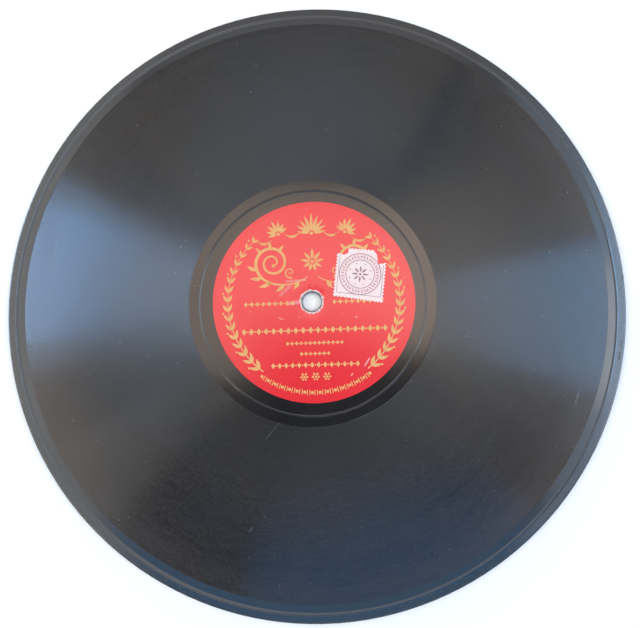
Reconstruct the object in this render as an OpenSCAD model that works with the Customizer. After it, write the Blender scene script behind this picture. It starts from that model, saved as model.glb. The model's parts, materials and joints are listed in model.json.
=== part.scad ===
// Ten-inch coarse-groove shellac record, double sided, with a red paper label pressed into
// each face and a gummed royalty stamp stuck on the label of side A.
// Millimetres. The spindle axis is Z, the record lies on the crests of its lower beads at
// Z = 0, side A faces up, and +Y is the top of the label of side A.

/* [Disc] */
// Outside diameter of the pressed disc
disc_d = 251; // [245:0.5:256]
// Thickness between the two playing surfaces
disc_t = 2.2; // [2:0.1:3]
// Radius of the rounded outer edge
edge_r = 0.8; // [0.4:0.1:0.9]
// How far the land outside the rim bead falls towards the edge
rim_fall = 0.15; // [0:0.05:0.25]

/* [Spindle hole] */
// Diameter of the spindle hole
hole_d = 7.3; // [7:0.05:7.8]
// Worn bevel at each mouth of the hole
hole_bevel = 0.3; // [0.1:0.05:0.5]

/* [Labels] */
// Diameter of the paper labels
label_d = 82.2; // [76:0.2:86]
// Thickness of the label paper
label_t = 0.1; // [0.06:0.01:0.2]
// Diameter of the worn hole in the labels
label_hole_d = 8.4; // [8:0.1:10]
// How far the label of side A was laid off centre towards +X
label_shift_x = 0.7; // [-1.5:0.1:1.5]
// How far the label of side A was laid off centre towards +Y
label_shift_y = 0.25; // [-1.5:0.05:1.5]
// Gap between the edge of a label and the wall of its recess
label_gap = 0.02; // [0.01:0.01:0.1]

/* [Beads] */
// Distance from the edge of a centred label to the middle of the bead round it
label_bead_gap = 4.9; // [3:0.1:8]
// Distance from the outer edge to the middle of the rim bead
rim_bead_inset = 3.8; // [2.5:0.1:4.5]
// Height of both beads above the playing surface
bead_h = 0.15; // [0.1:0.01:0.3]
// Width of a bead at its foot
bead_w = 1.4; // [1:0.1:2]
// Width of the flat crest of a bead
bead_crest_w = 0.5; // [0.2:0.1:0.8]

/* [Groove] */
// Distance from the middle of the label bead to the grooved band
run_out_w = 4; // [1.5:0.25:12]
// Distance from the middle of the rim bead to the grooved band
lead_in_w = 3.3; // [1.5:0.1:6]
// Distance from one turn of the groove to the next
groove_pitch = 0.34; // [0.3:0.01:0.5]
// Depth of the groove
groove_depth = 0.07; // [0.04:0.01:0.1]

/* [Stamp] */
// Width of the royalty stamp
stamp_w = 20.3; // [16:0.1:24]
// Height of the royalty stamp
stamp_h = 20.8; // [16:0.1:24]
// How much lower the bottom edge of the stamp was cut at its right end
stamp_slant = 0.9; // [0:0.1:2]
// Thickness of the stamp paper
stamp_t = 0.08; // [0.05:0.01:0.15]
// Distance from the right-hand edge of the label to the middle of the stamp
stamp_inset = 22.2; // [15:0.1:24]
// Height of the middle of the stamp above the middle of the label, towards +Y
stamp_rise = 10.95; // [0:0.05:16]
// Turn of the stamp, counter-clockwise seen from above
stamp_turn = -5.5; // [-45:0.5:45]
// Distance between perforations
perf_pitch = 1.4; // [1.2:0.05:2]
// Diameter of a perforation
perf_d = 0.8; // [0.5:0.05:1]

/* [Hidden] */
$fn = 96;

disc_r = disc_d / 2;
half_t = disc_t / 2;
hole_r = hole_d / 2;
label_r = label_d / 2;
// height of the disc's middle plane above the surface that the record lies on
mid_z = half_t + bead_h;
label_shift = [label_shift_x, label_shift_y, 0];
// height of the label's seat above the middle plane
seat_h = half_t - label_t;
label_bead_r = label_r + label_bead_gap;
rim_bead_r = disc_r - rim_bead_inset;
groove_inner_r = label_bead_r + run_out_w;
groove_outer_r = rim_bead_r - lead_in_w;
turn_count = floor((groove_outer_r - groove_inner_r) / groove_pitch);
edge_step = 15;
// how far a cutter stands proud of the face that it cuts
over = 1;
// outlines of the two torn corners of the stamp, each measured from its own top corner
left_tear = [[0, -2.3], [2.9, -3.1], [4.5, -2.2], [4.7, 0]];
right_tear = [[-6.6, 0], [-4.1, -1.8], [-3.6, -4.5], [-3.2, -5.6], [-1.5, -5.3], [0, -4.4]];

// Half section of one face, from the spindle hole out, as [radius, height above the middle plane]
function hole_mouth() = [
    [hole_r, seat_h - hole_bevel],
    [hole_r + hole_bevel + label_t, half_t],
];
function bead(r) = [
    [r - bead_w / 2, half_t],
    [r - bead_crest_w / 2, half_t + bead_h],
    [r + bead_crest_w / 2, half_t + bead_h],
    [r + bead_w / 2, half_t],
];
function groove_turn(r) = [
    [r, half_t],
    [r + groove_pitch / 2, half_t - groove_depth],
];
function grooved_band() = [
    for (turn = [0:turn_count - 1]) each groove_turn(groove_inner_r + turn * groove_pitch),
    [groove_inner_r + turn_count * groove_pitch, half_t],
];
function rounded_edge() = [
    for (a = [90:-edge_step:0])
        [disc_r - edge_r, half_t - rim_fall - edge_r] + edge_r * [cos(a), sin(a)]
];
function face_section() = concat(
    hole_mouth(), bead(label_bead_r), grooved_band(), bead(rim_bead_r), rounded_edge());
// The same points on the other face, from the edge back in
function mirrored(points) = [
    for (i = [len(points) - 1:-1:0]) [points[i].x, -points[i].y]
];

// The pressing: hole, label seats, beads, groove and edge in one moulded piece
module record_disc()
    color("#202022")
    translate([0, 0, mid_z])
    difference() {
        rotate_extrude() polygon(concat(face_section(), mirrored(face_section())));
        translate(label_shift) label_recess();
        mirror([0, 0, 1]) label_recess();
    }

// What a label presses out of the upper face
module label_recess()
    translate([0, 0, seat_h]) cylinder(r = label_r + label_gap, h = label_t + over);

module label_paper(shift)
    color("#d8323c")
    difference() {
        translate(shift) cylinder(r = label_r, h = label_t);
        translate([0, 0, -over]) cylinder(d = label_hole_d, h = label_t + 2 * over);
    }

module label_side_a()
    translate([0, 0, mid_z + seat_h]) label_paper(label_shift);

module label_side_b()
    translate([0, 0, mid_z - half_t]) label_paper([0, 0, 0]);

// Outline of the stamp about its own centre, with perforated edges and its two torn corners
module stamp_outline() {
    corners = [
        [-stamp_w / 2, stamp_h / 2],
        [stamp_w / 2, stamp_h / 2],
        [stamp_w / 2, -stamp_h / 2 - stamp_slant / 2],
        [-stamp_w / 2, -stamp_h / 2 + stamp_slant / 2],
    ];
    difference() {
        polygon(corners);
        for (i = [0:3]) perforations(corners[i], corners[(i + 1) % 4]);
        translate(corners[0]) torn_corner(left_tear, [-over, over]);
        translate(corners[1]) torn_corner(right_tear, [over, over]);
    }
}

// Row of holes along one edge, from its first corner up to its last
module perforations(from, to) {
    count = round(norm(to - from) / perf_pitch);
    for (i = [0:count - 1]) translate(from + (to - from) * i / count) circle(d = perf_d);
}

// What is missing between a torn outline and the corner that it was torn from
module torn_corner(tear, corner)
    polygon([
        for (p = tear) [p.x == 0 ? corner.x : p.x, p.y == 0 ? corner.y : p.y],
        corner,
    ]);

module royalty_stamp()
    color("#f3ccd3")
    translate(label_shift + [label_r - stamp_inset, stamp_rise, mid_z + half_t])
    rotate(stamp_turn)
    linear_extrude(stamp_t) stamp_outline();

record_disc();
label_side_a();
label_side_b();
royalty_stamp();
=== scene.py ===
# %% [markdown]
# # A ten-inch shellac record
# A record of the coarse-groove age is a thin, hard disc of shellac and stone dust, with a paper
# label pressed into each face. This one lies on a white table with its first side up, and a small
# gummed stamp sits on the right half of its label.
#
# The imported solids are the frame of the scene. They give every size and place, so nothing has to
# be fitted by eye. The disc and its labels are rebuilt here with more detail, and the stamp stays.

# %% Load the frame
import json
import math

import bpy
import numpy as np
from mathutils import Matrix, Vector

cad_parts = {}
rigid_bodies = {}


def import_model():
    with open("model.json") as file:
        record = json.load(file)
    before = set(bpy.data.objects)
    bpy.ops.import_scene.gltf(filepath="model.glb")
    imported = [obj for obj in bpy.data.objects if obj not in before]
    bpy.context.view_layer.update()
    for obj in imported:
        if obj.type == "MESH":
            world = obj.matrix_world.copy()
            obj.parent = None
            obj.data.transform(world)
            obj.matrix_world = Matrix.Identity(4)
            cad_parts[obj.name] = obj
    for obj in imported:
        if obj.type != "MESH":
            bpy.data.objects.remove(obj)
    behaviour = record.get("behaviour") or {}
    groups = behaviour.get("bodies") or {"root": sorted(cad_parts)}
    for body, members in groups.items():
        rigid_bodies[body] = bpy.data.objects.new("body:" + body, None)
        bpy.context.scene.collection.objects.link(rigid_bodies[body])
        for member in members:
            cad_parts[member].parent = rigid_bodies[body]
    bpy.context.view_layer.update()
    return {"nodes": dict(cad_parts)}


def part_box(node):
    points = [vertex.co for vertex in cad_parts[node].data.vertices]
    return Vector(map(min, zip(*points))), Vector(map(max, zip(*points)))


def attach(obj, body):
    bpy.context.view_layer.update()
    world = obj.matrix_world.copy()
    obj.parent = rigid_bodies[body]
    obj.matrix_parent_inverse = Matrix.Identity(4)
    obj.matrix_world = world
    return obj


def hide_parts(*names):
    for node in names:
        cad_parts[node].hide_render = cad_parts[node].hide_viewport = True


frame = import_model()
print("solids:", ", ".join(sorted(frame["nodes"])))

# %% [markdown]
# ## Sizes
# Records are made to a tenth of a millimetre, so the lesson works in millimetres and turns the
# result into metres when a mesh is made. The disc lies on two low beads, so its playing surface is
# a little below its highest point. The label is pressed flush with that surface.

# %% Read the sizes off the solids
MM = 0.001
LABEL_BEAD_GAP = 4.9
RIM_BEAD_INSET = 3.8


def box_mm(node):
    """Lowest and highest corner of a solid, in millimetres."""
    low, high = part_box(node)
    return low / MM, high / MM


disc_low, disc_high = box_mm("record_disc")
label_low, label_high = box_mm("label_side_a")
disc_r = disc_high.x
mid_z = (disc_low.z + disc_high.z) / 2
half_t = label_high.z - mid_z
bead_h = disc_high.z - label_high.z
label_t = label_high.z - label_low.z
label_r = (label_high.x - label_low.x) / 2
label_shift = (label_low + label_high).to_2d() / 2
label_bead_r = label_r + LABEL_BEAD_GAP
rim_bead_r = disc_r - RIM_BEAD_INSET
print(f"disc radius {disc_r:.2f} mm, label radius {label_r:.2f} mm, half thickness {half_t:.2f} mm")

# %% [markdown]
# ## Camera
# The picture was taken from just above the record and a little below its label, so the far side of
# the disc looks slightly smaller. A camera can be set by eye, but what a dark mirror shows depends
# on where the eye is. So this one was fitted to the outline of the disc and of the label. It stands
# 246 mm above the playing surface.

# %% Place the camera
PICTURE_W = 640
FOCAL_PX = 612.76
SENSOR_W = 36
NEAREST = 0.01
CAMERA_AT = Vector((12.008, -29.139, 246.392 + label_high.z))
CAMERA_PITCH = math.radians(5.5813)
CAMERA_ROLL = math.radians(2.0030)

camera = bpy.data.cameras.new("photo_camera")
camera.sensor_fit = "HORIZONTAL"
camera.sensor_width = SENSOR_W
camera.lens = FOCAL_PX / PICTURE_W * SENSOR_W
camera.clip_start = NEAREST
camera_object = bpy.data.objects.new("photo_camera", camera)
camera_object.matrix_world = (
    Matrix.Translation(CAMERA_AT * MM)
    @ Matrix.Rotation(CAMERA_PITCH, 4, "X")
    @ Matrix.Rotation(CAMERA_ROLL, 4, "Y")
)
scene = bpy.context.scene
scene.collection.objects.link(camera_object)
scene.camera = camera_object
scene.view_settings.view_transform = "Standard"
print(f"lens {camera.lens:.2f} mm")

# %% [markdown]
# ## Shader arithmetic
# Every finish below is painted by nodes. Wiring them one by one hides the idea, so a wire is
# wrapped in a small class: adding or multiplying two wires in Python adds the Math node that does
# it, and 1 - mask turns a mask round.

# %% Wrap a socket
class Wire:
    """An output of a node. Arithmetic on it adds Math nodes."""

    def __init__(self, finish, socket):
        self.finish = finish
        self.socket = socket

    def math(self, operation, *values, clamp=False):
        settings = {"operation": operation, "use_clamp": clamp}
        return self.finish.node("ShaderNodeMath", settings, dict(enumerate(values)))

    def __add__(self, other):
        return self.math("ADD", self, other)

    def __radd__(self, other):
        return self.math("ADD", other, self)

    def __sub__(self, other):
        return self.math("SUBTRACT", self, other)

    def __rsub__(self, other):
        return self.math("SUBTRACT", other, self)

    def __mul__(self, other):
        return self.math("MULTIPLY", self, other)

    def __rmul__(self, other):
        return self.math("MULTIPLY", other, self)

    def most(self, *others):
        """The largest of this wire and others."""
        found = self
        for other in others:
            found = self.math("MAXIMUM", found, other)
        return found

    def beside(self, outlet):
        """Another output of the same node."""
        return Wire(self.finish, self.socket.node.outputs[outlet])


print("wire ready")

# %% [markdown]
# All other nodes come from one method, which takes the node's type, its settings and what goes into
# its sockets. The rest of this class is short names for the nodes that the finishes use most.

# %% Wrap a material
class Finish:
    """A material or a room, and the nodes that paint it."""

    def __init__(self, name, kind="materials"):
        self.owner = getattr(bpy.data, kind).new(name)
        self.owner.use_nodes = True
        self.tree = self.owner.node_tree
        self.tree.nodes.clear()

    def node(self, kind, settings=None, sockets=None, outlet=0):
        made = self.tree.nodes.new(kind)
        for name, value in (settings or {}).items():
            setattr(made, name, value)
        for name, value in (sockets or {}).items():
            if isinstance(value, Wire):
                self.tree.links.new(value.socket, made.inputs[name])
            else:
                made.inputs[name].default_value = value
        return Wire(self, made.outputs[outlet]) if len(made.outputs) else None

    def place(self):
        """Where a point of the surface is, in millimetres."""
        metres = self.node("ShaderNodeTexCoord", outlet="Object")
        sockets = {0: metres, "Scale": 1 / MM}
        return self.node("ShaderNodeVectorMath", {"operation": "SCALE"}, sockets)

    def split(self, vector):
        apart = self.node("ShaderNodeSeparateXYZ", sockets={0: vector})
        return [apart.beside(axis) for axis in "XYZ"]

    def vector(self, operation, *values, outlet=0):
        sockets = dict(enumerate(values))
        return self.node("ShaderNodeVectorMath", {"operation": operation}, sockets, outlet)

    def from_axis(self, vector):
        """How far a point is from the upright axis through the origin."""
        flat = self.vector("MULTIPLY", vector, (1, 1, 0))
        return self.vector("LENGTH", flat, outlet=1)

    def noise(self, vector, scale, detail, roughness=0.5):
        sockets = {"Vector": vector, "Scale": scale, "Detail": detail, "Roughness": roughness}
        return self.node("ShaderNodeTexNoise", {}, sockets)

    def noise_along(self, value, scale, detail):
        sockets = {"W": value, "Scale": scale, "Detail": detail}
        return self.node("ShaderNodeTexNoise", {"noise_dimensions": "1D"}, sockets)

    def step(self, value, low, high):
        """0 below low, 1 above high and smooth between."""
        sockets = {"Value": value, "From Min": low, "From Max": high}
        return self.node("ShaderNodeMapRange", {"interpolation_type": "SMOOTHSTEP"}, sockets)

    def mix(self, share, first, second):
        sockets = {0: share, 6: first, 7: second}
        return self.node("ShaderNodeMix", {"data_type": "RGBA"}, sockets, outlet=2)

    def bump(self, height, distance):
        sockets = {"Height": height, "Distance": distance * MM, "Strength": 1.0}
        return self.node("ShaderNodeBump", {}, sockets)

    def principled(self, **sockets):
        named = {name.replace("_", " "): value for name, value in sockets.items()}
        surface = self.node("ShaderNodeBsdfPrincipled", {}, named)
        self.node("ShaderNodeOutputMaterial", {}, {"Surface": surface})
        return self.owner


def paint(red, green, blue):
    return (red, green, blue, 1.0)


print("finish ready")

# %% [markdown]
# ## Table
# The record lies on something plain and white. More light would make any floor white, but it would
# also wash out the shellac. So the floor is a diffuse white that glows a little for the rays that
# draw it. It comes out white and still takes the soft shadow of the disc.

# %% Lay the floor
FLOOR_SIDE = 6.0
FLOOR_DROP = 0.02
FLOOR_GLOW = 0.17

floor_mesh = bpy.data.meshes.new("table_top")
reach = FLOOR_SIDE / 2
floor_corners = [(-reach, -reach, 0), (reach, -reach, 0), (reach, reach, 0), (-reach, reach, 0)]
floor_mesh.from_pydata(floor_corners, [], [(0, 1, 2, 3)])
floor = bpy.data.objects.new("table_top", floor_mesh)
floor.location.z = -FLOOR_DROP * MM
scene.collection.objects.link(floor)

table = Finish("white_table")
straight = table.node("ShaderNodeLightPath", outlet="Is Camera Ray")
seen = straight.most(straight.beside("Is Glossy Ray"), straight.beside("Is Transmission Ray"))
white = table.node("ShaderNodeBsdfDiffuse", {}, {"Color": paint(0.88, 0.88, 0.87)})
glow = table.node("ShaderNodeEmission", {}, {"Strength": seen * FLOOR_GLOW})
both = table.node("ShaderNodeAddShader", {}, {0: white, 1: glow})
table.node("ShaderNodeOutputMaterial", {}, {"Surface": both})
floor_mesh.materials.append(table.owner)
print("floor laid")

# %% [markdown]
# ## Light
# The room is read from the disc, which is a dark mirror. Its plain bands show a warm, pale ceiling
# above, a grey wall to the left, a brighter patch to the right and a bluish dusk below. One large
# lamp would light the paper as well, but it would leave the shellac dull. So each stretch of the
# room is a softbox of its own, and its light is given as the colour that a mirror would show.

# %% Make softboxes
CEILING_Z = 0.85
LAMP_AWAY = 1.2


def softbox(name, at, aim, size, light):
    """A rectangular lamp, in metres. light is the colour that a mirror would show of it."""
    lamp = bpy.data.lights.new(name, "AREA")
    lamp.shape = "RECTANGLE"
    lamp.size, lamp.size_y = size
    lamp.energy = max(light) * math.pi * size[0] * size[1]
    lamp.color = [part / max(light) for part in light]
    hung = bpy.data.objects.new(name, lamp)
    hung.location = at
    hung.rotation_euler = (Vector(aim) - Vector(at)).to_track_quat("-Z", "Y").to_euler()
    hung.visible_camera = False
    scene.collection.objects.link(hung)


def overhead(name, left, right, low, high, light):
    """A lamp that faces down, given by its four edges."""
    at = ((left + right) / 2, (low + high) / 2, CEILING_Z)
    softbox(name, at, (at[0], at[1], 0), (right - left, high - low), light)


def aimed(name, azimuth, elevation, size, light):
    """A lamp that faces the middle of the record."""
    turn = math.radians(azimuth)
    rise = math.radians(elevation)
    outward = Vector((math.cos(turn), math.sin(turn), 0)) * math.cos(rise)
    towards = outward + Vector((0, 0, math.sin(rise)))
    softbox(name, towards * LAMP_AWAY, (0, 0, 0), size, light)


def lamp_count():
    return sum(thing.type == "LIGHT" for thing in scene.objects)


print("softboxes ready")

# %% Hang the ceiling and the upper walls
overhead("ceiling_left", -0.34, -0.15, -0.04, 0.33, (1.52, 1.22, 1.03))
overhead("ceiling", -0.15, 0.09, 0.06, 0.32, (1.60, 1.30, 1.08))
overhead("ceiling_right", 0.09, 0.30, 0.01, 0.30, (2.10, 1.70, 1.42))
overhead("wall_left", -1.00, -0.44, -0.14, 0.38, (1.34, 1.35, 1.37))
overhead("wall_left_low", -1.00, -0.40, -0.75, -0.14, (1.15, 1.18, 1.22))
overhead("wall_top_left", -1.00, -0.38, 0.38, 1.05, (1.08, 1.08, 1.09))
overhead("wall_top", -0.38, 0.90, 0.53, 1.05, (0.66, 0.67, 0.70))
overhead("wall_right_top", 0.31, 0.54, 0.29, 0.53, (0.80, 0.98, 1.20))
overhead("wall_right", 0.38, 0.54, 0.16, 0.29, (1.00, 1.42, 1.95))
overhead("patch_right", 0.40, 0.54, -0.08, 0.16, (2.7, 2.9, 3.2))
overhead("wall_right_low", 0.36, 0.54, -0.34, -0.08, (0.95, 1.15, 1.45))
overhead("wall_far_right", 0.54, 0.90, -0.34, 0.53, (1.7, 2.5, 3.6))
overhead("corner_right", 0.36, 0.90, -0.75, -0.34, (0.75, 1.1, 1.6))
overhead("dusk_low", -0.40, 0.36, -0.52, -0.26, (0.24, 0.52, 0.92))
overhead("dusk_far", -0.40, 0.36, -0.75, -0.52, (0.34, 0.74, 1.35))
print("lamps overhead:", lamp_count())

# %% [markdown]
# The groove shows two blue fans on one line through the hole. That is what a groove does with the
# light of low windows at both ends of that line. Low, dim stretches of wall and curtain stand
# between the windows, so the wedges between the fans are dark but not black.

# %% Stand the windows and the low walls
aimed("window_right", 3, 12, (0.64, 0.20), (2.0, 5.2, 9.4))
aimed("window_right_top", 3, 22, (0.64, 0.20), (1.0, 1.8, 3.1))
aimed("window_left", 168.5, 9, (0.60, 0.18), (7.6, 15.0, 27.0))
aimed("curtain_up", 152, 9, (0.105, 0.18), (4.6, 7.6, 11.5))
aimed("curtain_down", 185.5, 9, (0.125, 0.18), (3.1, 5.2, 7.6))
aimed("window_left_top", 167, 19, (0.60, 0.22), (0.3, 0.66, 1.4))
aimed("wall_back", 100, 15, (1.70, 0.34), (1.55, 1.25, 0.82))
aimed("wall_back_left", 143, 8, (0.26, 0.16), (1.8, 1.6, 1.3))
aimed("wall_back_right", 41, 10.5, (0.85, 0.17), (1.6, 1.5, 1.4))
aimed("wall_front_right", 341, 11, (0.28, 0.18), (1.4, 1.7, 2.2))
aimed("wall_front_left", 213, 17, (0.38, 0.17), (1.25, 1.2, 1.15))
aimed("dusk_front", 287, 18, (1.50, 0.18), (0.10, 0.90, 2.4))
print("lamps with the windows:", lamp_count())

# %% [markdown]
# A key lamp and three fills hang half way up, at heights that the groove throws past the camera. So
# they light the paper and the table, and hardly show in the shellac.

# %% Add the key and the fills
aimed("key", 4, 42, (0.80, 0.18), (6.5, 6.1, 5.5))
aimed("fill_left", 168, 36, (0.75, 0.20), (4.7, 4.3, 3.3))
aimed("fill_low_left", 206, 39, (0.60, 0.18), (5.4, 4.9, 3.8))
aimed("fill_front", 280, 45, (0.60, 0.18), (2.3, 2.1, 1.7))
print("lamps in all:", lamp_count())

# %% [markdown]
# Beyond the lamps the room is dark, apart from a pale strip along the horizon. It is what stands
# behind the record when it is seen from the side. A backdrop could do the same, but only on the
# side where it stands.

# %% Draw the horizon
STRIP_FULL = 0.12
STRIP_TOP = 0.22

room = Finish("pale_room", "worlds")
heading = room.node("ShaderNodeTexCoord", outlet="Generated")
above = room.step(room.split(heading)[2], STRIP_FULL, STRIP_TOP)
shade = room.mix(1 - above, paint(0.03, 0.03, 0.03), paint(0.9, 0.9, 0.9))
behind = room.node("ShaderNodeBackground", {}, {"Color": shade})
room.node("ShaderNodeOutputWorld", {}, {"Surface": behind})
scene.world = room.owner
print("room:", scene.world.name)

# %% [markdown]
# ## Sheets of points
# The disc, the labels and the print could be cut from cylinders with modifiers, but a spiral groove
# and a frayed hole are easier to say as numbers. So they are all made the same way: rows of points
# that are joined into faces. A small class keeps the points and the faces, and hands out the mesh
# at the end.

# %% Gather rows into a mesh
SHARP_ANGLE = 25


class Sheet:
    """Points in millimetres, the faces between them and the finish of each face."""

    def __init__(self):
        self.points = []
        self.flat = []
        self.faces = []
        self.finishes = []
        self.apart = {}

    def row(self, points, flat=None):
        """Adds points in order, and where they lie when the surface is spread out flat."""
        first = len(self.points)
        self.points.extend(tuple(point) for point in points)
        spread = np.array(points)[:, :2] if flat is None else flat
        self.flat.extend(tuple(spot) for spot in spread)
        return list(range(first, len(self.points)))

    def face(self, corners, finish=0, flat=None):
        """Adds a face. flat is for one that lies apart when the surface is spread out."""
        if flat is not None:
            self.apart[len(self.faces)] = flat
        self.faces.append(corners)
        self.finishes.append(finish)

    def join(self, inner, outer, finish=0, flat=None):
        """Faces between two closed rows of equal length."""
        for here in range(len(inner)):
            there = (here + 1) % len(inner)
            corners = [inner[here], inner[there], outer[there], outer[here]]
            own = flat and [flat[0][here], flat[0][there], flat[1][there], flat[1][here]]
            self.face(corners, finish, own)

    def spread_out(self, mesh, half_side):
        """A map on which no two faces share a place, for anyone who paints the mesh later."""
        spots = []
        for number, corners in enumerate(self.faces):
            spots += self.apart.get(number) or [self.flat[corner] for corner in corners]
        layer = mesh.uv_layers.new(name="OFBake")
        layer.data.foreach_set("uv", (np.array(spots) / (2 * half_side) + 0.5).ravel())

    def piece(self, name, materials, move, map_half=None):
        """An object of the sheet, moved by a matrix in millimetres."""
        turn = np.array(move.to_3x3())
        spots = np.array(self.points, dtype=float) @ turn.T + np.array(move.translation)
        mesh = bpy.data.meshes.new(name)
        mesh.from_pydata((spots * MM).tolist(), [], self.faces)
        for material in materials:
            mesh.materials.append(material)
        mesh.polygons.foreach_set("material_index", self.finishes)
        mesh.polygons.foreach_set("use_smooth", [True] * len(self.faces))
        mesh.set_sharp_from_angle(angle=math.radians(SHARP_ANGLE))
        if map_half:
            self.spread_out(mesh, map_half)
        mesh.update()
        made = bpy.data.objects.new(name, mesh)
        scene.collection.objects.link(made)
        return made


def circle(count, clockwise=False):
    """Directions round a circle, as rows of x and y."""
    turns = np.arange(count) / count * 2 * np.pi
    return np.column_stack([np.cos(turns), -np.sin(turns) if clockwise else np.sin(turns)])


def at_height(flat, height):
    return np.column_stack([flat, np.full(len(flat), height)])


print("sheet helpers ready")

# %% [markdown]
# ## Shellac
# Long use leaves dust and rubbed lines on any surface, so these two come first. Dust could be small
# meshes, but a pattern of cells gives as many specks without a single face. A rubbed line is the
# distance from a stretch between two points, with soft edges, broken up by a grain.

# %% Make dust and scuffs
def dust_on(finish, spot):
    """Small pale specks, a few to a square centimetre."""
    sockets = {"Vector": spot, "Scale": 0.5}
    near = finish.node("ShaderNodeTexVoronoi", {}, sockets, outlet="Distance")
    luck = finish.split(near.beside("Color"))[0]
    return (1 - finish.step(near, 0.05, 0.12)) * finish.step(luck, 0.84, 1.0)


def scuff_on(finish, spot, start, stop, width, strength):
    """A rubbed line from one place to another on the upper side, with soft ends and edges."""
    run = Vector((stop[0] - start[0], stop[1] - start[1], 0))
    flat = finish.vector("MULTIPLY", spot, (1, 1, 0))
    away = finish.vector("SUBTRACT", flat, (start[0], start[1], 0))
    share = finish.vector("DOT_PRODUCT", away, run / run.length_squared, outlet=1)
    share = share.math("ADD", share, 0, clamp=True)
    nearest = finish.vector("MULTIPLY", share, run)
    gap = finish.vector("LENGTH", finish.vector("SUBTRACT", away, nearest), outlet=1)
    upper = finish.step(finish.split(spot)[2], mid_z, mid_z + 0.1)
    return (1 - finish.step(gap, width / 6, width / 2)) * upper * strength


def all_scuffs(finish, spot, places, grain=2.5):
    """The strongest of several rubbed lines, broken up by a fine grain."""
    lines = [scuff_on(finish, spot, *place) for place in places]
    broken = finish.step(finish.noise(spot, grain, 4.0, 0.65), 0.40, 0.58)
    return lines[0].most(*lines[1:]) * broken


print("dust and scuffs ready")

# %% [markdown]
# The pressing is black, but never quite: the stone dust in it and years of needles leave a grey
# bloom. Its plain bands are glossy with a soft haze. They could share one finish with the groove,
# but the bead at the rim, the nicked land outside it and the chewed mouth of the hole wear in their
# own way, so they get one that knows how far a point is from the hole. The bead is rougher on its
# inner slope and over the left half, and over that half it is also painted paler, as a sheen.

# %% Paint the plain bands
SHELLAC_IOR = 1.56
RIM_CHIPS = [
    ((124.2, 9.0), (124.5, 10.4), 1.2, 1.0),
    ((122.9, -16.2), (122.6, -17.6), 1.1, 1.0),
    ((122.0, -20.6), (121.6, -23.0), 1.3, 1.0),
    ((-23.0, 122.6), (-24.6, 122.2), 0.9, 1.0),
]


def plain_shellac():
    finish = Finish("shellac_plain")
    spot = finish.place()
    radius = finish.from_axis(spot)
    haze = finish.noise(spot, 0.05, 4.0)
    dust = dust_on(finish, spot)
    chips = all_scuffs(finish, spot, RIM_CHIPS)
    bead = finish.step(radius, rim_bead_r - 0.8, rim_bead_r - 0.6)
    bead = bead * (1 - finish.step(radius, rim_bead_r + 0.6, rim_bead_r + 0.8))
    inner = 1 - finish.step(radius, rim_bead_r - 0.15, rim_bead_r + 0.1)
    # The left half of the disc: the bead is rubbed rougher there and given a painted sheen.
    left = 1 - finish.step(finish.split(spot)[0], -60, 60)
    rubbed = bead * inner.most(left)
    land = finish.step(radius, rim_bead_r + 0.6, rim_bead_r + 1.2)
    nicks = land * finish.step(finish.noise(spot, 0.8, 4.0, 0.6), 0.54, 0.66)
    chewed = 1 - finish.step(radius + 1.2 * finish.noise(spot, 1.1, 3.0), 4.2, 5.0)
    black = finish.mix(haze, paint(0.010, 0.010, 0.011), paint(0.018, 0.017, 0.017))
    # Painted sheen: over the left half the bead is mixed further towards pale grey (0.14 * left).
    black = finish.mix(rubbed * (0.12 + 0.14 * left), black, paint(0.14, 0.14, 0.145))
    colour = finish.mix(dust * 0.4, black, paint(0.20, 0.20, 0.20))
    colour = finish.mix(chewed * 0.8, colour, paint(0.34, 0.33, 0.33))
    worn = 0.6 * chips + 0.5 * rubbed + 0.22 * nicks
    rough = 0.10 + 0.10 * haze + 0.2 * dust + worn + 0.5 * chewed
    return finish.principled(
        Base_Color=colour, Roughness=rough, IOR=SHELLAC_IOR, Specular_IOR_Level=1.0
    )


plain = plain_shellac()
print("finish:", plain.name)

# %% [markdown]
# The grooved band reflects like brushed metal, because hundreds of tiny walls all face towards or
# away from the hole. An anisotropic gloss alone could give such a shine, but not its edges. So the
# walls are real geometry below, and only the wear of each wall is left to an anisotropic gloss that
# runs along the groove.

# %% Paint the grooved band
WORN_IN = 34
GROOVE_SCUFFS = [
    ((-18.4, -55.4), (-6.0, -41.0), 0.5, 0.7),
    ((105.5, -35.6), (103.8, -40.4), 1.1, 0.8),
    ((-102.2, 38.3), (-108.3, 15.0), 0.5, 0.6),
    ((110.0, 20.6), (111.3, 21.0), 0.7, 1.0),
    ((-23.0, -89.4), (-24.2, -90.8), 0.7, 1.0),
]


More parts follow.
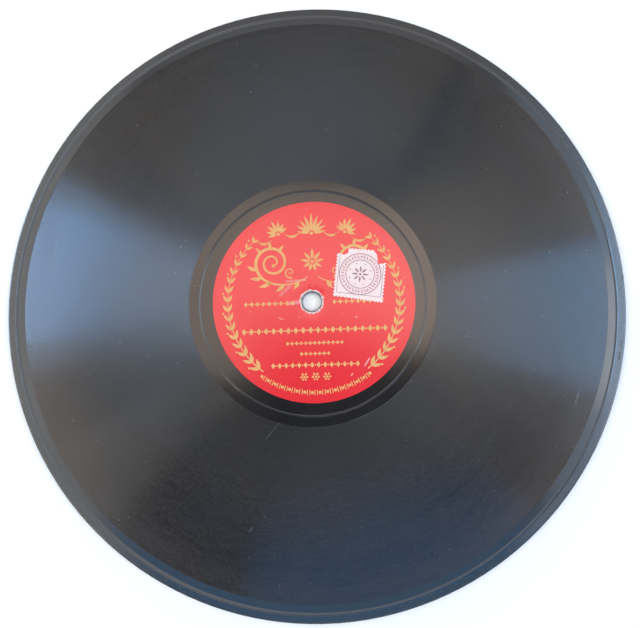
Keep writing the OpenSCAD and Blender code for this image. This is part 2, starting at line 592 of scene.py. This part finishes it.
def grooved_shellac():
    finish = Finish("shellac_grooved")
    spot = finish.place()
    radius = finish.from_axis(spot)
    rings = finish.noise_along(radius, 0.12, 4.0)
    bloom = finish.noise(spot, 0.03, 5.0, 0.6)
    grain = finish.noise(spot, 0.9, 3.0, 0.75)
    round_it = finish.vector("NORMALIZE", finish.vector("MULTIPLY", spot, (1, 1, 0)))
    outward = finish.node("ShaderNodeCombineXYZ", {}, {2: 0.08 * radius})
    arcs = finish.noise(finish.vector("ADD", round_it, outward), 14.0, 3.0, 0.7)
    dust = dust_on(finish, spot)
    scuffs = all_scuffs(finish, spot, GROOVE_SCUFFS)
    worn = finish.step(radius, label_bead_r, label_bead_r + WORN_IN)
    tint = finish.step(finish.noise(spot, 0.045, 2.0), 0.40, 0.60)
    cover = finish.step(0.7 * grain + 0.3 * arcs, 0.36, 0.66) * (0.2 + 0.8 * worn)
    cover = cover * (0.4 + 0.6 * rings + 0.6 * bloom)
    pale = finish.mix(tint, paint(0.014, 0.017, 0.021), paint(0.021, 0.018, 0.020))
    grey = finish.mix(cover, paint(0.001, 0.001, 0.001), pale)
    colour = finish.mix(dust * 0.5, grey, paint(0.30, 0.30, 0.31))
    colour = finish.mix(scuffs * 0.6, colour, paint(0.20, 0.20, 0.21))
    rough = 0.145 + 0.03 * rings + 0.03 * bloom + 0.07 * arcs + 0.02 * grain + 0.1 * dust
    return finish.principled(
        Base_Color=colour,
        Roughness=rough,
        IOR=SHELLAC_IOR,
        Specular_IOR_Level=1.0,
        Anisotropic=0.3,
        Anisotropic_Rotation=0.25,
    )


grooved = grooved_shellac()
print("finish:", grooved.name)

# %% [markdown]
# ## The pressing
# A press closes two stampers on a lump of hot shellac, one for each side, and the two faces meet
# half way through the disc. The lesson does the same: each half is one closed mesh from the middle
# plane out. First come the plain parts of its section, from the hole to the rolled edge.

# %% Set out the section of one face
SEGMENTS = 144
HOLE_R = 3.65
HOLE_BEVEL = 0.3
LABEL_GAP = 0.02
SEAT_BEVEL = 0.03
EDGE_R = 0.8
EDGE_POINTS = 13
RIM_FALL = 0.15
BEAD_HALF_W = 0.48
BEAD_CREST = 0.08
BEAD_FLANK = [(0, 1), (0.10, 0.98), (0.20, 0.89), (0.50, 0.50), (0.80, 0.11), (0.90, 0.02), (1, 0)]
FLAT_END = 0.04
PLAIN = 0
GROOVED = 1
compass = circle(SEGMENTS, clockwise=True)
seat_h = half_t - label_t


def ring(radius, height, centre=(0, 0)):
    return at_height(compass * radius + np.array(centre), height)


def bead(radius):
    """Places over one raised bead with straight flanks, as radius, height and centre."""
    foot = BEAD_HALF_W + FLAT_END
    flank = np.array(BEAD_FLANK)
    half = BEAD_CREST + flank[:, 0] * (BEAD_HALF_W - BEAD_CREST)
    asides = [-foot, *-half[::-1], *half, foot]
    heights = [0, *flank[::-1, 1], *flank[:, 1], 0]
    return [(radius + a, half_t + bead_h * h, (0, 0)) for a, h in zip(asides, heights)]


def rolled_edge():
    """Places from the end of the rim land round the edge down to the middle plane."""
    middle = half_t - RIM_FALL - EDGE_R
    places = [(disc_r - EDGE_R - FLAT_END, middle + EDGE_R, (0, 0))]
    for turn in np.radians(np.linspace(90, 0, EDGE_POINTS)):
        out = disc_r - EDGE_R + EDGE_R * math.cos(turn)
        places.append((out, middle + EDGE_R * math.sin(turn), (0, 0)))
    return places + [(disc_r, 0, (0, 0))]


def lay_rings(sheet, section, out):
    """Closed rows along a section. out is how far the surface has been spread out so far."""
    rows = []
    before = section[0]
    for place in section:
        out += math.hypot(place[0] - before[0], place[1] - before[1])
        rows.append(sheet.row(ring(*place), compass * out))
        before = place
    for near, far in zip(rows, rows[1:]):
        sheet.join(near, far, PLAIN)
    return rows, out


print("points over a bead:", len(bead(rim_bead_r)))

# %% [markdown]
# The groove could be a bump pattern, but then it would be gone in any other program and would not
# hold up close. So it is a true spiral of about two hundred turns, with a flat land, an outer wall
# and an inner wall to each turn. Seen from its own side it runs inwards counter-clockwise, because
# the record turns clockwise under the needle.
#
# A spiral has no closed rows: after one turn a row runs on into the row of the next turn. So the
# last point of a row is the first point of the row three places on, and the two ends of the spiral
# are closed by one face each, where the groove has run out to nothing.

# %% Wind the groove
RUN_OUT_W = 4.0
LEAD_IN_W = 3.3
GROOVE_INNER = label_bead_r + RUN_OUT_W
GROOVE_OUTER = rim_bead_r - LEAD_IN_W
GROOVE_START = 0.1
PITCH = 0.34
GROOVE_W = 0.29
GROOVE_DEPTH = 0.07
TURNS = int((GROOVE_OUTER - GROOVE_INNER) / PITCH) - 1
FADE_TURNS = 0.2
PARTS = [(0.0, 0.0), (GROOVE_W / 2, GROOVE_DEPTH), (GROOVE_W, 0.0)]


def wind_groove(sheet, inside, outside, out):
    """Adds the spiral between two closed rows, the first of which is spread out as far as out."""
    share = np.arange(SEGMENTS) / SEGMENTS
    rows = []
    for number in range(len(PARTS) * (TURNS + 1)):
        turn, part = divmod(number, len(PARTS))
        shift, depth = PARTS[part]
        wound = turn + (share if turn < TURNS else share[:1])
        ends = np.minimum(wound, TURNS - wound) / FADE_TURNS
        radius = GROOVE_INNER + GROOVE_START + PITCH * wound + shift
        flat = compass[: len(wound)] * radius[:, None]
        height = half_t - depth * np.clip(ends, 0, 1)
        spread = compass[: len(wound)] * (out + radius - GROOVE_INNER)[:, None]
        rows.append(sheet.row(np.column_stack([flat, height]), spread))
    full = len(PARTS) * TURNS

    def point(row, place):
        return rows[row][place] if place < SEGMENTS else rows[row + len(PARTS)][0]

    for row in range(full - 1):
        for here in range(SEGMENTS):
            corners = [point(row, here), point(row, here + 1)]
            corners += [point(row + 1, here + 1), point(row + 1, here)]
            sheet.face(corners, GROOVED)
    first_end = [point(row, 0) for row in range(len(PARTS) + 1)]
    last_end = [point(full - 1 + row, 0) for row in range(len(PARTS) + 1)]
    for here in range(SEGMENTS):
        there = (here + 1) % SEGMENTS
        start = first_end if there == 0 else [point(0, there)]
        sheet.face([inside[here], inside[there]] + start + [point(0, here)], PLAIN)
        stop = last_end if here == 0 else [point(full - 1, here)]
        corners = [point(full - 1, here + 1), outside[there], outside[here]]
        sheet.face(corners + stop[::-1], PLAIN)


print(f"{TURNS} turns of groove between {GROOVE_INNER:.1f} and {GROOVE_OUTER:.1f} mm")

# %% [markdown]
# Each half goes from the hole over the label's seat and its bead to the groove, and on over the rim
# bead to the edge. The joint on the middle plane closes it. On the flat map that joint lies in a
# corner by itself, because it never shows.

# %% Press both faces
MAP_HALF = 130
HOLE_OUT = 2.9
JOINT_AT = np.array([-118.0, -118.0])
JOINT_OUTER = 8
JOINT_INNER = 2


def press_face(name, centre, move):
    sheet = Sheet()
    seat_r = label_r + LABEL_GAP
    well = [
        (HOLE_R, 0, (0, 0)),
        (HOLE_R, seat_h - HOLE_BEVEL, (0, 0)),
        (HOLE_R + HOLE_BEVEL, seat_h, (0, 0)),
        (seat_r, seat_h, centre),
        (seat_r, half_t - SEAT_BEVEL, centre),
        (seat_r + SEAT_BEVEL, half_t, centre),
    ]
    run_out = [(GROOVE_INNER, half_t, (0, 0))]
    lead_in = [(GROOVE_OUTER, half_t, (0, 0))]
    inner, out = lay_rings(sheet, well + bead(label_bead_r) + run_out, HOLE_OUT)
    band_out = out + GROOVE_OUTER - GROOVE_INNER
    outer, _ = lay_rings(sheet, lead_in + bead(rim_bead_r) + rolled_edge(), band_out)
    wind_groove(sheet, inner[-1], outer[0], out)
    joint = [(JOINT_AT + compass * size).tolist() for size in (JOINT_OUTER, JOINT_INNER)]
    sheet.join(outer[-1], inner[0], PLAIN, joint)
    half = sheet.piece(name, [plain, grooved], move, map_half=MAP_HALF)
    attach(half, "root")
    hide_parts("record_disc")
    print(name, "has", len(half.data.polygons), "faces")


raised = Matrix.Translation((0, 0, mid_z))
turned_over = raised @ Matrix.Rotation(math.pi, 4, "X")
press_face("pressing_side_a", label_shift, raised)
press_face("pressing_side_b", (0, 0), turned_over)

# %% [markdown]
# ## Label paper
# The label is a disc of red printed paper, baked into the shellac by the press. Its hole is
# chewed by the spindle into a pale, frayed ring. The paper is mostly smooth, with a fine tooth, a
# few white flecks where the colour has come away, and a slightly uneven red. A flat red would do
# from far off, but close up it is the flecks and the scuffs that say paper.

# %% Paint the label paper
VARNISH_IOR = 1.56
BARE_PAPER = paint(0.80, 0.70, 0.66)
PAPER_SCUFFS = [
    ((21.4, -25.8), (23.2, -23.0), 0.9, 1.0),
    ((-12.8, 2.6), (-8.6, 6.6), 1.8, 0.4),
    ((-10.5, 8.2), (-2.7, 8.9), 1.3, 0.5),
    ((16.0, -29.6), (16.5, -29.1), 0.9, 0.8),
    ((17.9, -6.4), (18.2, -6.0), 0.8, 0.8),
    ((-13.3, -6.7), (-11.4, -7.3), 0.8, 0.5),
    ((-26.9, -18.7), (-26.6, -18.2), 0.8, 0.5),
    ((-9.6, -0.8), (-4.4, -0.2), 2.2, 0.6),
]


def red_paper():
    finish = Finish("label_red_paper")
    spot = finish.place()
    from_hole = finish.from_axis(spot)
    tooth = finish.noise(spot, 2.2, 4.0, 0.6)
    cloud = finish.noise(spot, 0.07, 3.0)
    fray = finish.noise(spot, 0.9, 3.0)
    chewed = 1 - finish.step(from_hole + 2.2 * fray, 5.6, 6.4)
    flecks = dust_on(finish, finish.vector("MULTIPLY", spot, (0.8, 1.3, 1.0)))
    rubbed = finish.step(finish.noise(spot, 0.35, 6.0, 0.7), 0.66, 0.74)
    red = finish.mix(cloud, paint(0.86, 0.013, 0.024), paint(0.93, 0.026, 0.040))
    red = finish.mix(0.06 * tooth, red, paint(0.97, 0.16, 0.16))
    red = finish.mix(0.20 * rubbed, red, paint(0.95, 0.28, 0.26))
    scuffs = all_scuffs(finish, spot, PAPER_SCUFFS, 3.5)
    bare = chewed.most(0.8 * flecks, 0.9 * scuffs)
    colour = finish.mix(bare, red, BARE_PAPER)
    rough = 0.18 + 0.06 * tooth + 0.3 * bare
    normal = finish.bump(tooth + 0.5 * bare, 0.004)
    return finish.principled(
        Base_Color=colour,
        Roughness=rough,
        Normal=normal,
        IOR=VARNISH_IOR,
        Specular_IOR_Level=1.0,
    )


label_red = red_paper()
print("finish:", label_red.name)

# %% [markdown]
# The edge of the hole is the one part of the label that isn't a clean cut. Two rows of points with
# smooth random offsets give it a frayed lip. The draws are seeded, so it frays the same each time.

# %% Cut the labels
LABEL_SEGMENTS = 192
LABEL_ROWS = 12
HOLE_WORN_R = 4.2
HOLE_SPARE = 0.12
LIP_SPARE = 0.45
LIP_DROP = 0.06
FRAY = 0.16
FRAY_WAVES = range(2, 24)
rng = np.random.default_rng(78)


def frayed(count, amount):
    """A closed row of smooth random offsets."""
    turns = np.arange(count) / count * 2 * np.pi
    waves = []
    for number in FRAY_WAVES:
        size = rng.normal() / number**0.7
        waves.append(size * np.cos(number * turns + rng.uniform(0, 6.28)))
    row = np.sum(waves, axis=0)
    return amount * row / np.abs(row).max()


def cut_label(name, node, centre, move):
    sheet = Sheet()
    round_it = circle(LABEL_SEGMENTS, clockwise=True)
    hole = round_it * (HOLE_WORN_R + HOLE_SPARE + frayed(LABEL_SEGMENTS, FRAY))[:, None]
    lip = round_it * (HOLE_WORN_R + LIP_SPARE + frayed(LABEL_SEGMENTS, FRAY))[:, None]
    edge = round_it * label_r + np.array(centre)
    rounds = [at_height(hole, seat_h), at_height(hole, seat_h + LIP_DROP), at_height(lip, half_t)]
    for share in np.linspace(0, 1, LABEL_ROWS)[1:]:
        rounds.append(at_height(lip + (edge - lip) * share, half_t))
    rounds.append(at_height(edge, seat_h))
    rows = [sheet.row(points) for points in rounds]
    for near, far in zip(rows, rows[1:] + rows[:1]):
        sheet.join(near, far)
    label = sheet.piece(name, [label_red], move)
    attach(label, "root")
    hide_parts(node)
    print(name, "has", len(label.data.polygons), "faces")


cut_label("label_paper_a", "label_side_a", label_shift, raised)
cut_label("label_paper_b", "label_side_b", (0, 0), turned_over)

# %% [markdown]
# ## Ink
# The print is bronze powder on varnish, one or two hundredths of a millimetre thick. It could be a
# pattern in the paper's material, but drawn shapes stay crisp at any distance. So each stroke is a
# thin closed slab, drawn by a pen that follows a path and changes its width on the way.

# %% Make a pen
INK_T = 0.012
INK_SUNK = 0.004
INK_STEP = 0.002
INK_LEVELS = 7
DOT_SIDES = 12
LEAF_POINTS = 9
LEAF_TIP_W = 0.04


class Pen:
    """Draws flat shapes of ink on a plane, in millimetres."""

    def __init__(self):
        self.sheet = Sheet()
        self.drawn = 0

    def levels(self):
        """Bottom and top of the next shape. Shapes that cross aren't of one thickness."""
        self.drawn += 1
        return -INK_SUNK, INK_T + INK_STEP * (self.drawn % INK_LEVELS)

    def shape(self, outline):
        """One convex shape, its corners counter-clockwise."""
        corners = np.array(outline)
        low, top = [self.sheet.row(at_height(corners, height)) for height in self.levels()]
        self.sheet.face(low[::-1])
        self.sheet.face(top)
        self.sheet.join(low, top)

    def stroke(self, path, widths, closed=False):
        """A line along a path that is as wide at each point as the widths say."""
        path = np.array(path, dtype=float)
        widths = np.broadcast_to(np.array(widths, dtype=float), len(path))
        if closed:
            along = np.roll(path, -1, axis=0) - np.roll(path, 1, axis=0)
        else:
            along = np.gradient(path, axis=0)
        along /= np.linalg.norm(along, axis=1)[:, None]
        aside = np.column_stack([-along[:, 1], along[:, 0]]) * widths[:, None] / 2
        sides = [path + aside, path - aside]
        rows = []
        for height in self.levels():
            rows += [self.sheet.row(at_height(side, height)) for side in sides]
        low_left, low_right, top_left, top_right = rows
        last = len(path) if closed else len(path) - 1
        for here in range(last):
            there = (here + 1) % len(path)
            pairs = [(top_left, top_right), (low_right, low_left)]
            pairs += [(low_left, top_left), (top_right, low_right)]
            for left, right in pairs:
                self.sheet.face([left[here], right[here], right[there], left[there]])
        if not closed:
            self.sheet.face([low_left[0], low_right[0], top_right[0], top_left[0]])
            self.sheet.face([low_right[-1], low_left[-1], top_left[-1], top_right[-1]])

    def dot(self, spot, radius):
        self.shape(np.array(spot) + circle(DOT_SIDES) * radius)

    def lozenge(self, spot, width, height, turn=0.0):
        corners = np.array([(width, 0), (0, height), (-width, 0), (0, -height)]) / 2
        self.shape(np.array(spot) + corners @ turning(turn).T)

    def leaf(self, root, heading, length, width, bend=0.0):
        """A pointed leaf that bends to the left of its heading."""
        share = np.linspace(0, 1, LEAF_POINTS)
        flat = np.column_stack([share * length, bend * length * share**2])
        widths = width * np.sin(np.pi * share**0.8) + LEAF_TIP_W
        self.stroke(np.array(root) + flat @ turning(heading).T, widths)


def turning(degrees):
    turn = math.radians(degrees)
    return np.array([[math.cos(turn), -math.sin(turn)], [math.sin(turn), math.cos(turn)]])


def polar(radius, degrees):
    """A point by its distance and direction, or a row of points."""
    turn = np.radians(degrees)
    return np.stack([radius * np.cos(turn), radius * np.sin(turn)], axis=-1)


print("pen ready")

# %% [markdown]
# The ornament is of the plain kind that any jobbing printer kept in a drawer: leaf garlands at both
# sides, fans and scrolls over the hole, and rows of lozenges and dots below it. It says nothing,
# and it covers about as much of the red as print on such a label does. First come the parts that
# stand on both sides, which are drawn once and mirrored.

# %% Draw garlands and scrolls
CURVE_POINTS = 20


def facing(heading, side):
    """A heading in degrees, mirrored for the left side."""
    return heading if side > 0 else 180 - heading


def curve(start, pull, push, stop):
    share = np.linspace(0, 1, CURVE_POINTS)[:, None]
    points = [np.array(point) for point in (start, pull, push, stop)]
    back = 1 - share
    sides = points[0] * back**3 + points[3] * share**3
    return sides + 3 * points[1] * share * back**2 + 3 * points[2] * share**2 * back


def garland(pen, side):
    """A leafy branch that climbs one side of the label."""
    start, stop, radius, count = -50, 46, 34.9, 16
    mirror = np.array([side, 1])
    climb = np.linspace(start - 3, stop + 3, 60)
    pen.stroke(polar(radius, climb) * mirror, np.linspace(0.5, 0.2, len(climb)))
    for number, at in enumerate(np.linspace(start, stop, count)):
        grow = 1 - 0.4 * number / count
        for lean, bend in ((-42, 0.16), (38, -0.16)):
            heading = facing(at + 90 + lean, side)
            pen.leaf(polar(radius, at) * mirror, heading, 4.3 * grow, 1.35 * grow, bend * side)
        if number % 2:
            pen.dot(polar(radius + 2.7 * grow, at - 1) * mirror, 0.42)


def coil(pen, centre, radius, start, turns, width, mirror):
    """A stroke that winds in to an eye, counter-clockwise before it is mirrored."""
    wind = np.linspace(0, 1, int(30 * turns))
    path = np.array(centre) + polar(radius * (1 - 0.82 * wind), start + 360 * turns * wind)
    pen.stroke(path * mirror, width * (1 - 0.6 * wind))
    pen.dot(path[-1] * mirror, 0.55 * width)


def scroll(pen, side):
    """A volute beside the hole's axis, with leaves on its back and a small curl below it."""
    mirror = np.array([side, 1])
    eye = np.array([16.4, 16.2])
    stem = curve((2.0, 10.2), (9, 4.6), (23.2, 6.2), (23.2, 16.2))
    pen.stroke(stem * mirror, np.linspace(0.3, 1.25, len(stem)))
    coil(pen, eye, 6.8, 0, 1.7, 1.25, mirror)
    coil(pen, (9.2, 12.0), 2.3, 250, 1.2, 0.6, mirror)
    leaves = ((3, -66, 3.6), (7, -48, 4.4), (11, -30, 5.0), (14, -12, 5.0), (17, 14, 4.4))
    for at, heading, length in leaves:
        pen.leaf(stem[at] * mirror, facing(heading, side), length, 1.5, 0.22 * side)
    for number, at in enumerate((40, 80, 120)):
        root = eye + polar(5.9, at)
        pen.leaf(root * mirror, facing(at + 22, side), 3.4 - 0.4 * number, 1.2, -0.2 * side)


print("garlands and scrolls ready")

# %% [markdown]
# Fans, strings of beads and rows of small motifs fill the rest. The label is then set from all of
# these, as a printer would set it from single types.

# %% Set the label ornament
def fan(pen, spot, heading, length, count, spread, width=1.15):
    """Leaves that spread from one eye."""
    for lean in np.linspace(-spread, spread, count):
        reach_out = length * (1 - 0.35 * abs(lean) / spread)
        root = np.array(spot) + polar(0.85 * width, heading + lean)
        pen.leaf(root, heading + lean, reach_out, width)
    pen.dot(spot, 0.6 * width)


def swag(pen, start, stop, sag):
    """A string of beads that hangs between two points."""
    share = np.linspace(0, 1, 11)[:, None]
    path = np.array(start) * (1 - share) + np.array(stop) * share
    path[:, 1] -= sag * np.sin(np.pi * share[:, 0])
    pen.stroke(path, 0.2)
    for spot, size in zip(path[2:-2], (0.34, 0.42, 0.5, 0.56, 0.5, 0.42, 0.34)):
        pen.dot(spot, size)


def motif_row(pen, height, start, stop, size):
    """Lozenges with a dot between each two."""
    gaps = round((stop - start) / (1.12 * size))
    places = np.linspace(start, stop, gaps + 1)
    for here in places:
        pen.lozenge((here, height), 0.72 * size, size)
    for here in (places[1:] + places[:-1]) / 2:
        pen.dot((here, height), 0.14 * size)


def label_ornament():
    pen = Pen()
    for side in (-1, 1):
        garland(pen, side)
        scroll(pen, side)
        ends = sorted((8.4 * side, 27.6 * side))
        motif_row(pen, -0.6, ends[0], ends[1], 2.1)
        swag(pen, (4.6 * side, 28.6), (11.2 * side, 28.2), 1.6)
        swag(pen, (16.4 * side, 25.6), (22.6 * side, 25.4), 1.4)
    fan(pen, (0, 28.0), 90, 7.6, 9, 82)
    for heading in (64, 116):
        fan(pen, polar(31.2, heading), heading, 5.2, 7, 78)
    fan(pen, (0, 16.2), 90, 4.6, 9, 160)
    lines = ((-11.8, 28.5, 2.7), (-17.0, 11, 1.7), (-21.3, 5.5, 1.7), (-25.8, 17, 2.3))
    for height, half, size in lines:
        motif_row(pen, height, -half, half, size)
    for spot in (-4.6, 0, 4.6):
        fan(pen, (spot, -30.6), 90, 1.35, 6, 150, 0.8)
    for number, at in enumerate(np.linspace(234, 306, 46)):
        if number % 3:
            pen.stroke(polar(np.array([35.8, 37.9]), at), 0.34)
        else:
            pen.dot(polar(36.85, at), 0.62)
    return pen.sheet


print("ornament ready")

# %% [markdown]
# Bronze ink is warm and only half metallic: flakes lie flat in a yellow varnish. A full metal would
# go dark wherever the room is dark, which such ink doesn't. Where thumbs have rubbed it, the red of
# the paper comes through.

# %% Print the labels
PRINT_TURN = math.radians(2.0)


def bronze_ink():
    finish = Finish("bronze_ink")
    spot = finish.place()
    flake = finish.noise(spot, 6.0, 2.0)
    worn = finish.step(finish.noise(spot, 0.5, 5.0, 0.65), 0.52, 0.68)
    gold = finish.mix(flake, paint(0.80, 0.42, 0.13), paint(0.92, 0.54, 0.22))
    colour = finish.mix(0.5 * worn, gold, paint(0.84, 0.22, 0.15))
    rough = 0.36 + 0.2 * flake
    return finish.principled(Base_Color=colour, Roughness=rough, Metallic=0.25, IOR=1.5)


gold_ink = bronze_ink()


def print_label(name, centre, move):
    laid = move @ Matrix.Translation((centre[0], centre[1], half_t))
    laid = laid @ Matrix.Rotation(PRINT_TURN, 4, "Z")
    printed = label_ornament().piece(name, [gold_ink], laid)
    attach(printed, "root")
    print(name, "has", len(printed.data.polygons), "faces")


print_label("label_print_a", label_shift, raised)
print_label("label_print_b", (0, 0), turned_over)

# %% [markdown]
# ## Stamp
# The stamp was torn from a sheet, licked and stuck on in the shop. It could be cut again from rows
# of points, but its outline, with the holes of the perforation and the torn corners, is right in
# the solid. So the solid stays and gets a soft, pinkish paper that is stained by its own ink.

# %% Finish the stamp
STAMP_INSET = 22.2
STAMP_RISE = 10.95
STAMP_TURN = math.radians(-5.5)
stamp_z = box_mm("royalty_stamp")[1].z
stamp_mid = label_shift + Vector((label_r - STAMP_INSET, STAMP_RISE))
stamp_top = Vector((stamp_mid.x, stamp_mid.y, stamp_z))


def pink_paper():
    finish = Finish("stamp_pink_paper")
    spot = finish.place()
    radius = finish.from_axis(finish.vector("SUBTRACT", spot, stamp_top))
    fibre = finish.noise(spot, 3.0, 5.0, 0.65)
    cloud = finish.noise(spot, 0.35, 3.0)
    band = finish.step(radius, 4.6, 6.2) * (1 - finish.step(radius, 8.2, 9.4))
    white_pink = finish.mix(fibre, paint(0.99, 0.77, 0.71), paint(0.99, 0.87, 0.79))
    stained = finish.mix(0.3 * cloud + 0.3 * band, white_pink, paint(0.95, 0.54, 0.53))
    normal = finish.bump(fibre, 0.02)
    return finish.principled(Base_Color=stained, Roughness=0.75, Normal=normal, IOR=1.45)


stamp = frame["nodes"]["royalty_stamp"]
stamp.data.materials.clear()
stamp.data.materials.append(pink_paper())
print("stamp stands at", tuple(round(value, 2) for value in stamp_mid))

# %% [markdown]
# Its print is a round frame of dashes and lozenges about a small flower, inside three thin lines,
# in a mauve ink that has gone thin in places. The same pen draws it, for the same reason as on the
# label.

# %% Print the stamp
def stamp_ornament():
    pen = Pen()
    around_it = np.arange(0, 360, 5)
    for radius, width in ((8.4, 0.30), (5.8, 0.26)):
        pen.stroke(polar(radius, around_it), width, closed=True)
    for number, at in enumerate(np.arange(0, 360, 10)):
        if number % 3:
            pen.stroke(polar(np.array([6.5, 7.7]), np.array([at - 1, at + 3])), 0.32)
        else:
            pen.lozenge(polar(7.1, at), 1.1, 0.7, at)
    for at in np.arange(0, 360, 45):
        pen.leaf(polar(0.9, at), at, 2.5, 0.75)
        pen.dot(polar(4.5, at + 22.5), 0.26)
    pen.dot((0, 0), 0.5)
    left_line = [(-8.9, 7.2), (-8.9, -8.2)]
    right_line = [(9.1, 4.4), (9.1, -8.6)]
    foot_line = [(-8.9, -8.2), (9.1, -8.6)]
    for line in (left_line, right_line, foot_line):
        pen.stroke(line, 0.2)
    return pen.sheet


def mauve_ink():
    finish = Finish("mauve_ink")
    spot = finish.place()
    thin = finish.step(finish.noise(spot, 1.6, 4.0, 0.6), 0.42, 0.68)
    colour = finish.mix(thin, paint(0.30, 0.13, 0.17), paint(0.60, 0.34, 0.36))
    return finish.principled(Base_Color=colour, Roughness=0.7)


stamp_place = Matrix.Translation(stamp_top) @ Matrix.Rotation(STAMP_TURN, 4, "Z")
stamp_print = stamp_ornament().piece("stamp_print", [mauve_ink()], stamp_place)
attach(stamp_print, "root")
print("stamp print has", len(stamp_print.data.polygons), "faces")
